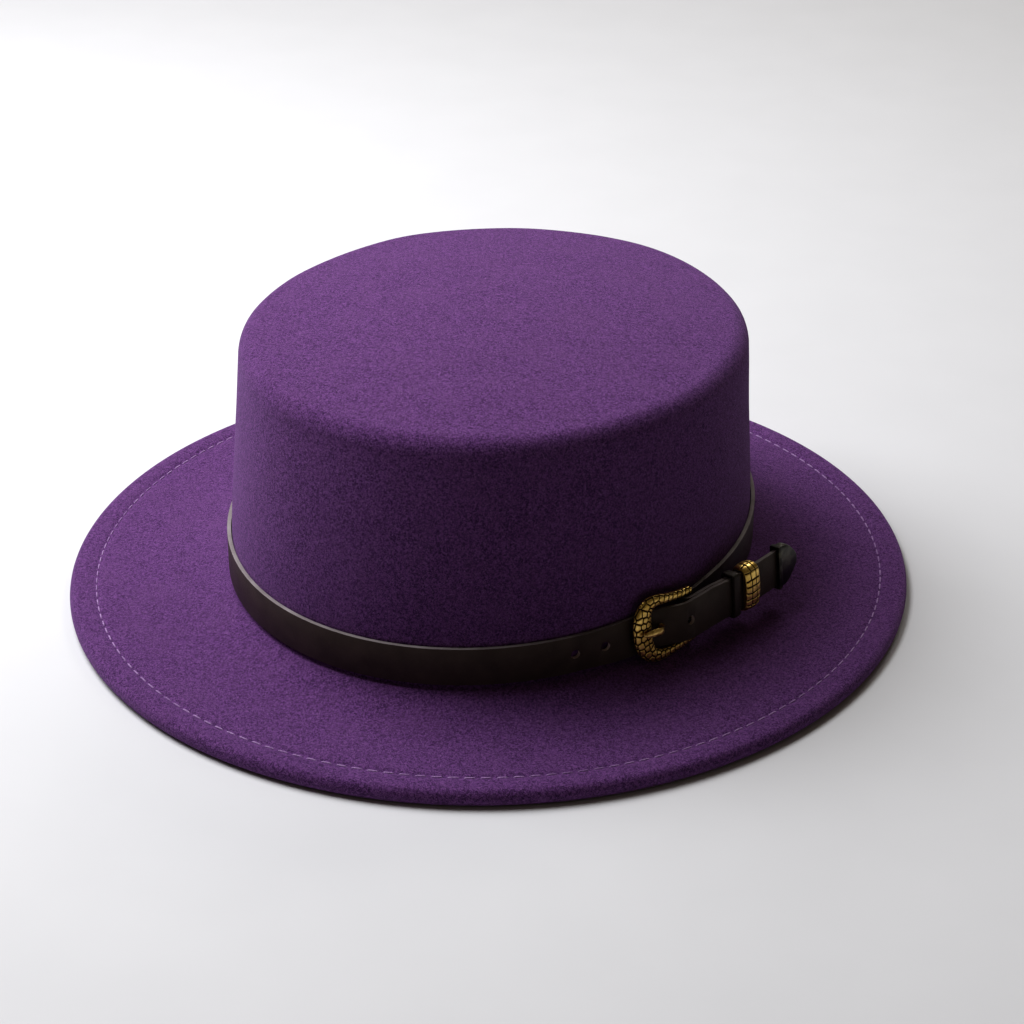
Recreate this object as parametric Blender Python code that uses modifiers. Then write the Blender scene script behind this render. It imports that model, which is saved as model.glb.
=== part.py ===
"""Flat-topped wide-brim felt hat with a narrow leather belt and a western buckle.

Origin: centre of the brim's footprint, on the surface the hat rests on.
+Z is up, -Y is the wearer's front, +X is the wearer's left, where the buckle sits.
Lengths are in metres.
"""
import math

import bmesh
import bpy
import numpy as np
from mathutils import Matrix, Vector

MM = 0.001

# Fit between neighbouring pieces
gap = 0.3 * MM

# Felt body: crown
crown_half_x = 85.0 * MM
crown_half_y = 101.2 * MM
crown_height = 90.4 * MM
crown_dome = 5.5 * MM
crown_taper_x = 2.6 * MM
crown_taper_y = 11.0 * MM
shoulder_radius = 6.5 * MM
felt_wall = 2.5 * MM

# Felt body: brim and hem
brim_width_x = 55.8 * MM
brim_width_y = 45.3 * MM
brim_lead = 3.4 * MM
brim_rise = 5.6 * MM
brim_break_radius = 2.0 * MM
hem_width = 12.5 * MM
hem_slit = 0.3 * MM
brim_hollow_power = 3.6

# Leather belt
belt_width = 12.7 * MM
belt_thickness = 1.3 * MM
belt_lift = 2.0 * MM
buckle_angle = -22.7
buckle_lean = 8.0
free_end_lean = 5.0
lean_run_in = 16.0 * MM
lean_run_out = 8.0 * MM
chape_run_in = 14.0 * MM
return_length = 27.5 * MM
free_end_length = 42.0 * MM
free_end_standoff = 9.0 * MM
free_end_power = 1.8
rise_end = 3.0 * MM
hole_diameter = 3.0 * MM
hole_pitch = 10.5 * MM
tongue_hole_from_bar = 12.2 * MM
holes_before_tongue = 3
holes_after_tongue = 1

# Buckle frame
frame_length = 23.8 * MM
frame_height = 21.5 * MM
frame_thickness = 2.6 * MM
frame_plane = 4.3 * MM
frame_raise = 1.6 * MM
frame_end_width = 7.2 * MM
arm_width = 2.7 * MM
bar_radius = 0.8 * MM
relief_depth = 0.28 * MM
relief_groove = 0.24 * MM

# Tongue
tongue_wire = 1.3 * MM
slot_height = 2.6 * MM

# Keepers
leather_keeper_from_bar = 17.4 * MM
leather_keeper_width = 3.2 * MM
leather_keeper_wall = 1.0 * MM
brass_keeper_from_bar = 24.2 * MM
brass_keeper_width = 7.2 * MM
brass_keeper_wall = 1.0 * MM
brass_keeper_bulge = 0.4 * MM
brass_keeper_dome = 0.9 * MM
brass_keeper_round = 2.2 * MM

# Metal strap tip
tip_length = 10.5 * MM
tip_straight = 3.8 * MM
tip_wall = 0.6 * MM
tip_pocket = 4.5 * MM
tip_point_height = 4.0 * MM
tip_collar_width = 1.8 * MM
tip_collar_proud = 0.35 * MM

# Number of facets
around = 64
strap_step = 5.0 * MM

# Sizes that follow from those above
hem_height = 2 * felt_wall + hem_slit
break_height = hem_height + brim_rise
belt_centre_height = break_height + belt_lift + belt_width / 2
belt_half = belt_width / 2
bar_clear = bar_radius + gap + belt_thickness / 2
return_offset = frame_plane + bar_clear
over_bar_offset = return_offset + belt_thickness + gap
rise_start = frame_length - frame_end_width

# Crown wall between the belt's top edge (0) and the shoulder (1)
WALL_SECTIONS = [
    # height share, taper share
    (1.00, 1.00),
    (0.66, 0.61),
    (0.33, 0.27),
    (0.00, 0.00),
]

# Crown top from the shoulder (1) to the centre (0)
DOME_SHARES = [0.35, 0.65, 0.86]

# Centre line of the buckle's C from the bar (0) to its outer end (1)
FRAME_SECTIONS = [
    # along share, flare share, height share, width share
    (-0.06, 0.00, 1.00, 0.00),
    (0.06, 0.08, 1.00, 0.02),
    (0.19, 0.25, 1.00, 0.03),
    (0.32, 0.45, 1.00, 0.05),
    (0.45, 0.68, 1.00, 0.10),
    (0.58, 0.88, 1.00, 0.17),
    (0.71, 1.00, 0.99, 0.28),
    (0.83, 1.00, 0.92, 0.48),
    (0.92, 1.00, 0.76, 0.72),
    (0.98, 1.00, 0.50, 0.92),
    (1.00, 1.00, 0.17, 1.00),
]


def clear_scene():
    for old in list(bpy.data.objects):
        bpy.data.objects.remove(old, do_unlink=True)
    for old in list(bpy.data.collections):
        bpy.data.collections.remove(old)


def new_collection(name):
    made = bpy.data.collections.new(name)
    bpy.context.scene.collection.children.link(made)
    return made


def new_material(name, colour, roughness, metallic):
    made = bpy.data.materials.new(name)
    made.use_nodes = True
    shader = made.node_tree.nodes["Principled BSDF"]
    shader.inputs["Base Color"].default_value = (*colour, 1.0)
    shader.inputs["Roughness"].default_value = roughness
    shader.inputs["Metallic"].default_value = metallic
    made.diffuse_color = (*colour, 1.0)
    return made


def add_object(name, mesh_builder, collection, material=None, smooth_angle=None):
    """Turn a bmesh into an object, with its faces pointing out."""
    bmesh.ops.recalc_face_normals(mesh_builder, faces=mesh_builder.faces)
    mesh = bpy.data.meshes.new(name)
    mesh_builder.to_mesh(mesh)
    mesh_builder.free()
    made = bpy.data.objects.new(name, mesh)
    collection.objects.link(made)
    if material is not None:
        mesh.materials.append(material)
    if smooth_angle is not None:
        mesh.shade_smooth()
        mesh.set_sharp_from_angle(angle=math.radians(smooth_angle))
    return made


def make_cutter(made):
    made.hide_render = True
    made.display_type = "WIRE"


def add_boolean(target, cutter, operation):
    modifier = target.modifiers.new(cutter.name, "BOOLEAN")
    modifier.operation = operation
    modifier.object = cutter


def bridge_rings(mesh_builder, rings, closed=False):
    """Quads between neighbouring rings of equally many vertices."""
    faces = []
    count = len(rings[0])
    last = len(rings) if closed else len(rings) - 1
    for i in range(last):
        lower = rings[i]
        upper = rings[(i + 1) % len(rings)]
        for j in range(count):
            k = (j + 1) % count
            faces.append(mesh_builder.faces.new((lower[j], lower[k], upper[k], upper[j])))
    return faces


def smooth_share(share):
    """0 to 1 with level ends."""
    share = min(max(share, 0.0), 1.0)
    return share * share * (3 - 2 * share)


# The crown's oval at the belt, measured in distance along it from the buckle's bar

sample_angles = np.linspace(-math.pi, 3 * math.pi, 16001)
sample_steps = np.hypot(
    crown_half_x * np.sin(sample_angles),
    crown_half_y * np.cos(sample_angles),
) * (sample_angles[1] - sample_angles[0])
sample_distances = np.cumsum(sample_steps)
bar_distance = float(np.interp(math.radians(buckle_angle), sample_angles, sample_distances))
crown_round = float(np.interp(math.radians(buckle_angle) + 2 * math.pi,
                              sample_angles, sample_distances)) - bar_distance


def crown_place(distance):
    """Point on the crown at the belt, with the outward and the forward direction there."""
    wrapped = distance % crown_round
    angle = float(np.interp(wrapped + bar_distance, sample_distances, sample_angles))
    point = Vector((
        crown_half_x * math.cos(angle),
        crown_half_y * math.sin(angle) + brim_lead,
        0,
    ))
    outward = Vector((math.cos(angle) / crown_half_x, math.sin(angle) / crown_half_y, 0))
    outward.normalize()
    forward = Vector((-outward.y, outward.x, 0))
    return point, outward, forward


def belt_point(distance, offset, height, lean):
    """Point at an offset from the crown and a height on the belt, leaning out at its foot."""
    point, outward, _ = crown_place(distance)
    tilt = math.radians(lean)
    aside = offset * math.cos(tilt) - height * math.sin(tilt)
    up = belt_centre_height + height * math.cos(tilt) + offset * math.sin(tilt)
    return point + outward * aside + Vector((0, 0, up))


def hug_offset(lean):
    """Middle of a strap that lies against the crown at the given lean."""
    tilt = math.radians(lean)
    return (gap + belt_half * math.sin(tilt)) / math.cos(tilt) + belt_thickness / 2


def outer_lean(distance):
    """Lean of the strap that comes from the left and ends at the tip."""
    if distance < 0:
        return buckle_lean * smooth_share((distance + frame_length + lean_run_in) / lean_run_in)
    share = smooth_share((distance - lean_run_out) / lean_run_out)
    return buckle_lean + (free_end_lean - buckle_lean) * share


def outer_offset(distance):
    """Offset of that strap: along the crown, up over the bar, then straight off the crown."""
    lying = hug_offset(outer_lean(min(distance, 0)))
    if distance < 0:
        share = smooth_share((distance + rise_start) / (rise_start - rise_end))
        return lying + (over_bar_offset - lying) * share
    return over_bar_offset + free_end_standoff * (distance / free_end_length) ** free_end_power


def placed(distance, offset, height, lean, path=None):
    """Matrix with x outward, y along the belt and z up, all leaning with the belt."""
    origin = belt_point(distance, offset, height, lean)
    _, outward, forward = crown_place(distance)
    if path is not None:
        before = belt_point(distance - MM, path(distance - MM), height, lean)
        after = belt_point(distance + MM, path(distance + MM), height, lean)
        forward = after - before
        forward.z = 0
        forward.normalize()
        outward = Vector((forward.y, -forward.x, 0))
    tilt = math.radians(lean)
    up = Vector((0, 0, 1))
    axis_x = outward * math.cos(tilt) + up * math.sin(tilt)
    axis_z = up * math.cos(tilt) - outward * math.sin(tilt)
    rotation = Matrix((axis_x, forward, axis_z)).transposed().to_4x4()
    return Matrix.Translation(origin) @ rotation


# Felt body

def felt_sections():
    """Outer skin from the crown's middle to the hem: half x, half y, height, middle y."""
    top_x = crown_half_x - crown_taper_x
    top_y = crown_half_y - crown_taper_y
    rings = []
    for share in DOME_SHARES:
        rings.append((
            (top_x - shoulder_radius) * share,
            (top_y - shoulder_radius) * share,
            crown_height + crown_dome * (1 - share * share),
            brim_lead,
        ))
    for angle in (84, 60, 36, 14):
        back = shoulder_radius * (1 - math.cos(math.radians(angle)))
        rise = shoulder_radius * (math.sin(math.radians(angle)) - 1)
        rings.append((top_x - back, top_y - back, crown_height + rise, brim_lead))
    belt_top = break_height + belt_lift + belt_width
    wall_top = crown_height - shoulder_radius
    for height_share, taper_share in WALL_SECTIONS:
        rings.append((
            crown_half_x - crown_taper_x * taper_share,
            crown_half_y - crown_taper_y * taper_share,
            belt_top + (wall_top - belt_top) * height_share,
            brim_lead,
        ))
    for angle in (0, 35, 68):
        out = brim_break_radius * (1 - math.cos(math.radians(angle)))
        down = brim_break_radius * (1 - math.sin(math.radians(angle)))
        rings.append((crown_half_x + out, crown_half_y + out, break_height + down, brim_lead))
    slope_x = brim_width_x - brim_break_radius - hem_width
    slope_y = brim_width_y - brim_break_radius - hem_width
    for share in (0.05, 0.18, 0.36, 0.6, 1.0):
        rings.append((
            crown_half_x + brim_break_radius + slope_x * share,
            crown_half_y + brim_break_radius + slope_y * share,
            hem_height + brim_rise * (1 - share) ** brim_hollow_power,
            brim_lead * (1 - share),
        ))
    roll = hem_height / 2
    edge_x = crown_half_x + brim_width_x
    edge_y = crown_half_y + brim_width_y
    for angle in range(90, -91, -30):
        back = roll * (1 - math.cos(math.radians(angle)))
        rise = roll * (1 + math.sin(math.radians(angle)))
        rings.append((edge_x - back, edge_y - back, rise, 0.0))
    rings.append((edge_x - hem_width, edge_y - hem_width, 0.0, 0.0))
    return rings


def build_felt(collection, material):
    builder = bmesh.new()
    rings = []
    for half_x, half_y, height, middle_y in felt_sections():
        ring = []
        for step in range(around):
            angle = 2 * math.pi * step / around
            place = (half_x * math.cos(angle), middle_y + half_y * math.sin(angle), height)
            ring.append(builder.verts.new(place))
        rings.append(ring)
    centre = builder.verts.new((0, brim_lead, crown_height + crown_dome))
    for j in range(around):
        builder.faces.new((centre, rings[0][j], rings[0][(j + 1) % around]))
    bridge_rings(builder, rings)
    felt = add_object("felt_body", builder, collection, material, 40)
    shell = felt.modifiers.new("felt wall", "SOLIDIFY")
    shell.thickness = felt_wall
    shell.offset = -1
    shell.use_even_offset = True
    shell.use_quality_normals = True
    return felt


# Leather belt

def belt_route():
    """Stations of the one strap, from the end of its return round to its free tip."""
    route = []
    steps = 7
    for i in range(steps):
        distance = return_length * (1 - i / steps)
        offset = outer_offset(distance) - belt_thickness - gap
        route.append((distance, offset, outer_lean(distance)))
    for angle in range(90, 271, 20):
        turn = math.radians(angle)
        route.append((
            bar_clear * math.cos(turn),
            frame_plane + bar_clear * math.sin(turn),
            buckle_lean,
        ))
    inner = frame_plane - bar_clear
    for i in range(1, 6):
        share = i / 5
        lean = buckle_lean * (1 - smooth_share(share))
        offset = hug_offset(lean) + (inner - hug_offset(buckle_lean)) * (1 - smooth_share(share))
        route.append((chape_run_in * share, offset, lean))
    start = chape_run_in
    stop = crown_round - frame_length - lean_run_in
    count = round((stop - start) / strap_step)
    for i in range(1, count + 1):
        route.append((start + (stop - start) * i / count, hug_offset(0), 0.0))
    stop = crown_round + free_end_length
    start = crown_round - frame_length - lean_run_in
    count = round((stop - start) / (strap_step / 2))
    for i in range(1, count + 1):
        distance = start + (stop - start) * i / count
        near = distance - crown_round
        route.append((distance, outer_offset(near), outer_lean(near)))
    return route


def outer_path_lengths():
    """Distance from the bar along the crown against length along the strap itself."""
    first_hole = tongue_hole_from_bar + (holes_before_tongue + 1) * hole_pitch
    distances = np.linspace(-first_hole, free_end_length, 400)
    points = [belt_point(d, outer_offset(d), 0, outer_lean(d)) for d in distances]
    lengths = [0.0]
    for i in range(1, len(points)):
        lengths.append(lengths[-1] + (points[i] - points[i - 1]).length)
    return distances, np.array(lengths)


def build_belt(collection, cutters, material):
    builder = bmesh.new()
    rows = []
    for distance, offset, lean in belt_route():
        low = builder.verts.new(belt_point(distance, offset, -belt_half, lean))
        high = builder.verts.new(belt_point(distance, offset, belt_half, lean))
        rows.append((low, high))
    for before, after in zip(rows, rows[1:]):
        builder.faces.new((before[0], after[0], after[1], before[1]))
    belt = add_object("belt_strap", builder, collection, material, 35)
    leather = belt.modifiers.new("leather", "SOLIDIFY")
    leather.thickness = belt_thickness
    leather.offset = 0
    leather.use_even_offset = True

    distances, lengths = outer_path_lengths()
    tongue_length = float(np.interp(-tongue_hole_from_bar, distances, lengths))
    for number in range(-holes_before_tongue, holes_after_tongue + 1):
        wanted = tongue_length + number * hole_pitch
        distance = float(np.interp(wanted, lengths, distances))
        punch = bmesh.new()
        bmesh.ops.create_cone(
            punch,
            cap_ends=True,
            segments=14,
            radius1=hole_diameter / 2,
            radius2=hole_diameter / 2,
            depth=belt_thickness + 2 * gap,
            matrix=Matrix.Rotation(math.pi / 2, 4, "Y"),
        )
        cutter = add_object("punch_%d" % (number + holes_before_tongue), punch, cutters)
        cutter.matrix_world = placed(
            distance, outer_offset(distance), 0, outer_lean(distance), path=outer_offset)
        make_cutter(cutter)
        add_boolean(belt, cutter, "DIFFERENCE")

    slot = bmesh.new()
    bmesh.ops.create_cube(slot, size=1)
    reach = bar_clear + belt_thickness / 2 + gap / 2
    for vertex in slot.verts:
        vertex.co.x *= 2 * reach
        vertex.co.y *= 2 * reach + gap
        vertex.co.z *= slot_height
    cutter = add_object("tongue_slot", slot, cutters)
    cutter.matrix_world = placed(0, frame_plane, 0, buckle_lean)
    make_cutter(cutter)
    add_boolean(belt, cutter, "DIFFERENCE")
    return belt


# Buckle frame with its bar

def frame_stations():
    """Centre line of the C in the frame's plane, with the width of each section."""
    half_at_bar = belt_half + gap + arm_width / 2
    half_at_end = (frame_height - arm_width) / 2
    stations = []
    for side, sections in ((1, FRAME_SECTIONS), (-1, FRAME_SECTIONS[::-1])):
        for along, flare, height, width in sections:
            half = half_at_bar + (half_at_end - half_at_bar) * flare
            stations.append((
                -(frame_length - frame_end_width / 2) * along,
                side * half * height + frame_raise * along * along,
                arm_width + (frame_end_width - arm_width) * width,
            ))
    return stations


def on_frame(out, along, height):
    """Point of the frame, which is curved like the crown behind it."""
    return belt_point(along, frame_plane + out, height, buckle_lean)


def build_frame(collection, cutters, material):
    builder = bmesh.new()
    stations = frame_stations()
    rings = []
    sides = 12
    for i, (along, height, width) in enumerate(stations):
        before = stations[max(i - 1, 0)]
        after = stations[min(i + 1, len(stations) - 1)]
        run = Vector((after[0] - before[0], after[1] - before[1]))
        run.normalize()
        across = Vector((-run.y, run.x))
        ring = []
        for step in range(sides):
            turn = 2 * math.pi * (step + 0.25 + 0.5 * (i % 2)) / sides
            wide = math.copysign(abs(math.cos(turn)) ** 0.75, math.cos(turn)) * width / 2
            deep = math.copysign(abs(math.sin(turn)) ** 0.75, math.sin(turn)) * frame_thickness / 2
            ring.append(builder.verts.new((deep, along + across.x * wide, height + across.y * wide)))
        rings.append(ring)
    faces = bridge_rings(builder, rings)
    builder.faces.new(rings[0])
    builder.faces.new(rings[-1])
    bmesh.ops.recalc_face_normals(builder, faces=builder.faces)
    builder.normal_update()
    scales = [face for face in faces if face.normal.x > 0.2]
    bmesh.ops.inset_individual(
        builder, faces=scales, thickness=relief_groove, depth=relief_depth, use_even_offset=True)
    for vertex in builder.verts:
        vertex.co = on_frame(*vertex.co)
    frame = add_object("buckle_frame", builder, collection, material, 30)

    rod = bmesh.new()
    bmesh.ops.create_cone(
        rod,
        cap_ends=True,
        segments=14,
        radius1=bar_radius,
        radius2=bar_radius,
        depth=belt_width + 2 * gap + arm_width,
    )
    bar = add_object("buckle_bar", rod, cutters)
    bar.matrix_world = placed(0, frame_plane, 0, buckle_lean)
    make_cutter(bar)
    add_boolean(frame, bar, "UNION")
    return frame


# Tongue bent from wire round the bar

def tongue_route():
    """Middle of the wire: round the bar, under the strap, out at the hole, onto the frame."""
    turn_radius = bar_radius + gap + tongue_wire / 2
    route = []
    for angle in range(150, -91, -24):
        turn = math.radians(angle)
        route.append(on_frame(turn_radius * math.sin(turn), turn_radius * math.cos(turn), 0))
    under = frame_plane - turn_radius
    through = outer_offset(-tongue_hole_from_bar)
    hole = tongue_hole_from_bar
    for along, rise in ((0.25, 0.0), (0.55, 0.0), (0.80, 0.12), (0.92, 0.48), (1.00, 1.0)):
        offset = under + rise * (through - under)
        route.append(belt_point(-along * hole, offset, 0, buckle_lean))
    over = frame_thickness / 2 + relief_depth + gap + tongue_wire / 2
    step = frame_length - frame_end_width - hole
    for along, rise in ((0.28, 0.55), (0.62, 0.95), (1.1, 1.0)):
        route.append(on_frame(over * rise, -hole - step * along, 0))
    route.append(on_frame(over, -frame_length + 0.28 * frame_end_width, 0))
    return route


def build_tongue(collection, material):
    route = tongue_route()
    curve = bpy.data.curves.new("buckle_tongue", "CURVE")
    curve.dimensions = "3D"
    curve.bevel_depth = tongue_wire / 2
    curve.bevel_resolution = 2
    curve.use_fill_caps = True
    spline = curve.splines.new("POLY")
    spline.points.add(len(route) - 1)
    for point, place in zip(spline.points, route):
        point.co = (*place, 1.0)
    drawn = bpy.data.objects.new("tongue_route", curve)
    collection.objects.link(drawn)
    bpy.context.view_layer.update()
    graph = bpy.context.evaluated_depsgraph_get()
    mesh = bpy.data.meshes.new_from_object(drawn.evaluated_get(graph))
    builder = bmesh.new()
    builder.from_mesh(mesh)
    bmesh.ops.remove_doubles(builder, verts=builder.verts, dist=0.00001)
    bpy.data.meshes.remove(mesh)
    tongue = add_object("buckle_tongue", builder, collection, material, 40)
    tongue.matrix_world = drawn.matrix_world.copy()
    bpy.data.objects.remove(drawn, do_unlink=True)
    return tongue


# Keepers round the return and the free end

bundle_depth = 2 * belt_thickness + gap


def bundle_offset(distance):
    """Middle of the two layers that the keepers hold."""
    return outer_offset(distance) - (belt_thickness + gap) / 2


def rounded_outline(half_x, half_z, radius, steps):
    """Points of a rectangle with round corners, counterclockwise."""
    points = []
    for corner, (sx, sz) in enumerate(((1, 1), (-1, 1), (-1, -1), (1, -1))):
        for step in range(steps + 1):
            turn = math.radians(90 * corner + 90 * step / steps)
            points.append((
                sx * (half_x - radius) + radius * math.cos(turn),
                sz * (half_z - radius) + radius * math.sin(turn),
            ))
    return points


def cut_bundle_way(target, cutters, name, length):
    way = bmesh.new()
    bmesh.ops.create_cube(way, size=1)
    for vertex in way.verts:
        vertex.co.x *= bundle_depth + 2 * gap
        vertex.co.y *= length * 1.5
        vertex.co.z *= belt_width + 2 * gap
    cutter = add_object(name, way, cutters)
    cutter.matrix_world = target.matrix_world.copy()
    make_cutter(cutter)
    add_boolean(target, cutter, "DIFFERENCE")


def build_leather_keeper(collection, cutters, material):
    builder = bmesh.new()
    half_x = bundle_depth / 2 + gap + leather_keeper_wall
    half_z = belt_half + gap + leather_keeper_wall
    rings = []
    for end in (-1, 1):
        ring = []
        for x, z in rounded_outline(half_x, half_z, leather_keeper_wall, 3):
            ring.append(builder.verts.new((x, end * leather_keeper_width / 2, z)))
        rings.append(ring)
    bridge_rings(builder, rings)
    builder.faces.new(rings[0])
    builder.faces.new(rings[1])
    keeper = add_object("leather_keeper", builder, collection, material, 35)
    distance = leather_keeper_from_bar
    keeper.matrix_world = placed(
        distance, bundle_offset(distance), 0, outer_lean(distance), path=bundle_offset)
    cut_bundle_way(keeper, cutters, "leather_keeper_way", leather_keeper_width)
    return keeper


def build_brass_keeper(collection, cutters, material):
    builder = bmesh.new()
    half_x = bundle_depth / 2 + gap + brass_keeper_wall
    half_z = belt_half + gap + brass_keeper_wall
    outline = []
    corner = brass_keeper_round
    flat_x = half_x - corner
    flat_z = half_z - corner
    for turn in range(0, 360, 90):
        base = math.radians(turn)
        for step in range(3):
            lean = base + math.radians(15 + 30 * step)
            sx = 1 if math.cos(lean) > 0 else -1
            sz = 1 if math.sin(lean) > 0 else -1
            outline.append((
                sx * flat_x + corner * math.cos(lean),
                sz * flat_z + corner * math.sin(lean),
            ))
    full = []
    for i, here in enumerate(outline):
        after = outline[(i + 1) % len(outline)]
        full.append(here)
        pieces = 5 if abs(after[1] - here[1]) > half_z else 2 if i % 3 == 2 else 1
        for cut in range(1, pieces):
            share = cut / pieces
            full.append((
                here[0] + (after[0] - here[0]) * share,
                here[1] + (after[1] - here[1]) * share,
            ))
    rings = []
    for share in (-1.0, -0.88, -0.3, 0.3, 0.88, 1.0):
        bulge = brass_keeper_bulge * (1 - share * share)
        bulge -= relief_depth if abs(share) == 1.0 else 0
        ring = []
        for x, z in full:
            grow_x = bulge * x / half_x
            if x > 0:
                grow_x += brass_keeper_dome * (1 - (z / half_z) ** 2) * x / half_x
            grow_z = bulge * z / half_z
            place = (x + grow_x, share * brass_keeper_width / 2, z + grow_z)
            ring.append(builder.verts.new(place))
        rings.append(ring)
    faces = bridge_rings(builder, rings)
    builder.faces.new(rings[0])
    builder.faces.new(rings[-1])
    bmesh.ops.recalc_face_normals(builder, faces=builder.faces)
    builder.normal_update()
    edge = 0.4 * brass_keeper_width
    scales = []
    for face in faces:
        middle = face.calc_center_median()
        if face.normal.x > -0.3 and abs(middle.y) < edge:
            scales.append(face)
    bmesh.ops.inset_individual(
        builder, faces=scales, thickness=relief_groove, depth=relief_depth, use_even_offset=True)
    keeper = add_object("brass_keeper", builder, collection, material, 30)
    distance = brass_keeper_from_bar
    keeper.matrix_world = placed(
        distance, bundle_offset(distance), 0, outer_lean(distance), path=bundle_offset)
    cut_bundle_way(keeper, cutters, "brass_keeper_way", brass_keeper_width)
    return keeper


# Metal cap on the strap's free end

def build_tip(collection, cutters, material):
    half_z = belt_half + gap + tip_wall
    depth = belt_thickness + 2 * gap + 2 * tip_wall
    outline = [
        (0.0, half_z),
        (tip_straight, half_z),
        (tip_straight + 0.45 * (tip_length - tip_straight), 0.80 * half_z),
        (0.93 * tip_length, tip_point_height / 2),
        (tip_length, 0.35 * tip_point_height),
        (tip_length, -0.35 * tip_point_height),
        (0.93 * tip_length, -tip_point_height / 2),
        (tip_straight + 0.45 * (tip_length - tip_straight), -0.80 * half_z),
        (tip_straight, -half_z),
        (0.0, -half_z),
    ]
    builder = bmesh.new()
    low = [builder.verts.new((-depth / 2, along, height)) for along, height in outline]
    face = builder.faces.new(low)
    lifted = bmesh.ops.extrude_face_region(builder, geom=[face])
    moved = [item for item in lifted["geom"] if isinstance(item, bmesh.types.BMVert)]
    bmesh.ops.translate(builder, verts=moved, vec=(depth, 0, 0))
    tip = add_object("strap_tip", builder, collection, material, 35)
    distance = free_end_length - tip_pocket
    tip.matrix_world = placed(
        distance, outer_offset(distance), 0, outer_lean(distance), path=outer_offset)
    mouth = belt_point(distance, outer_offset(distance), 0, outer_lean(distance))
    strap_end = belt_point(free_end_length, outer_offset(free_end_length), 0, free_end_lean)
    pocket_depth = (strap_end - mouth).length + gap
    rounding = tip.modifiers.new("rounded edges", "BEVEL")
    rounding.width = 0.45 * tip_wall
    rounding.segments = 2
    rounding.limit_method = "ANGLE"
    rounding.angle_limit = math.radians(50)

    band = bmesh.new()
    bmesh.ops.create_cube(band, size=1)
    for vertex in band.verts:
        vertex.co.x *= depth + 2 * tip_collar_proud
        vertex.co.y *= tip_collar_width
        vertex.co.z *= 2 * (half_z + tip_collar_proud)
    bmesh.ops.bevel(
        band, geom=list(band.edges), offset=0.6 * tip_collar_proud, segments=2, affect="EDGES")
    collar = add_object("tip_collar", band, cutters)
    collar.matrix_world = tip.matrix_world @ Matrix.Translation((0, tip_collar_width / 2 - gap, 0))
    make_cutter(collar)
    add_boolean(tip, collar, "UNION")

    pocket = bmesh.new()
    bmesh.ops.create_cube(pocket, size=1)
    for vertex in pocket.verts:
        vertex.co.x *= belt_thickness + 2 * gap
        vertex.co.y *= 2 * pocket_depth
        vertex.co.z *= belt_width + 2 * gap
    cutter = add_object("tip_pocket", pocket, cutters)
    cutter.matrix_world = tip.matrix_world.copy()
    make_cutter(cutter)
    add_boolean(tip, cutter, "DIFFERENCE")
    return tip


def main():
    clear_scene()
    hat = new_collection("wide_brim_felt_hat")
    cutters = new_collection("cutters")
    felt = new_material("purple wool felt", (0.070, 0.016, 0.110), 0.95, 0.0)
    leather = new_material("dark brown leather", (0.022, 0.013, 0.011), 0.45, 0.0)
    brass = new_material("antique brass", (0.330, 0.230, 0.080), 0.38, 1.0)
    black = new_material("blackened metal", (0.030, 0.028, 0.022), 0.35, 1.0)
    build_felt(hat, felt)
    build_belt(hat, cutters, leather)
    build_frame(hat, cutters, brass)
    build_tongue(hat, brass)
    build_leather_keeper(hat, cutters, leather)
    build_brass_keeper(hat, cutters, brass)
    build_tip(hat, cutters, black)
    bpy.context.view_layer.update()


main()
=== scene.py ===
"""Flat-topped wide-brim felt hat in deep purple wool, with a narrow leather belt and a western buckle."""
import math

import bmesh
import bpy
import numpy as np
from mathutils import Matrix, Vector, kdtree


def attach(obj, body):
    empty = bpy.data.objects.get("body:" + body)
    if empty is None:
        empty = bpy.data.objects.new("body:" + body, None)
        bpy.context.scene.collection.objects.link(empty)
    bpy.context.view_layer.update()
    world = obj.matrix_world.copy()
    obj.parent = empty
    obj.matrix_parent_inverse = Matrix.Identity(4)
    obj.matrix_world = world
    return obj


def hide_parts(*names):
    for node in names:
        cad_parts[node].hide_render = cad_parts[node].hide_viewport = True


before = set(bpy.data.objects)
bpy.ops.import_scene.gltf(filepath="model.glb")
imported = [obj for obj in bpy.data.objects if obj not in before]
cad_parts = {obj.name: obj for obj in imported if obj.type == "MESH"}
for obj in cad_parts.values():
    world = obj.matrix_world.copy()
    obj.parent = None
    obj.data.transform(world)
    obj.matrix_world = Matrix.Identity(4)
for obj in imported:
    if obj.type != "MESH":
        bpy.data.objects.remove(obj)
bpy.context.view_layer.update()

MM = 0.001

# Felt: crown and brim, as half sizes of ovals
crown_half_x = 85.0 * MM
crown_half_y = 101.2 * MM
crown_height = 90.4 * MM
crown_dome = 5.5 * MM
crown_taper_x = 2.6 * MM
crown_taper_y = 11.0 * MM
shoulder_radius = 6.5 * MM
felt_wall = 2.5 * MM
brim_width_x = 55.8 * MM
brim_width_y = 45.3 * MM
brim_lead = 3.4 * MM
brim_rise = 5.6 * MM
brim_break_radius = 2.0 * MM
brim_hollow_power = 3.6
hem_width = 12.5 * MM
hem_slit = 0.3 * MM
hem_height = 2 * felt_wall + hem_slit
break_height = hem_height + brim_rise

# Hem stitches
stitch_inset = 9.0 * MM
stitch_pitch = 4.85 * MM
stitch_length = 3.5 * MM
stitch_width = 0.54 * MM
channel_depth = 0.45 * MM
channel_half = 1.5 * MM
hem_puff = 0.35 * MM

# Unevenness that blocking by hand leaves in the felt
uneven_depth = 1.0 * MM
uneven_spread = 42.0 * MM
uneven_brim_share = 0.45

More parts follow.
